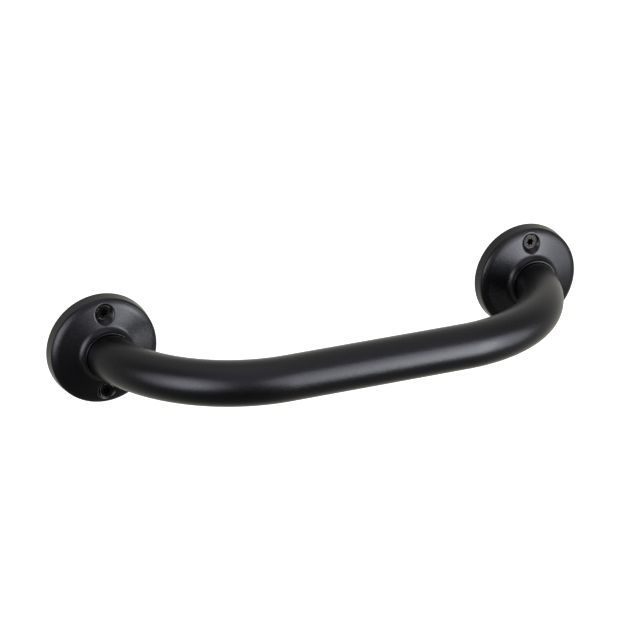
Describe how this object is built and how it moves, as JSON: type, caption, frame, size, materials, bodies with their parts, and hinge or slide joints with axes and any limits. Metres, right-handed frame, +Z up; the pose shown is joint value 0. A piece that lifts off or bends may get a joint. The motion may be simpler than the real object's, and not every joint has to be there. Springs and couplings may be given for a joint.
{
  "type": "grab bar",
  "caption": "Wall-mounted grab bar: a round tube bent to a U between domed round flanges, each held to the wall by star-drive screws sunk in its face.",
  "frame": {"origin": "on the wall plane, midway between the two flanges, at the centre of the screw pattern", "axes": "+X along the bar to the right as seen from the room, +Y into the wall, +Z up"},
  "size_m": [0.32, 0.107, 0.062],
  "materials": {
    "rail_coat": "satin black powder coat on steel tube",
    "flange_coat": "satin black powder coat on pressed steel sheet",
    "screw_steel": "black-plated steel, half gloss"
  },
  "bodies": {
    "root": {"rail": "rail_coat", "left_flange": "flange_coat", "right_flange": "flange_coat", "mounting_screws": "screw_steel"}
  },
  "joints": []
}
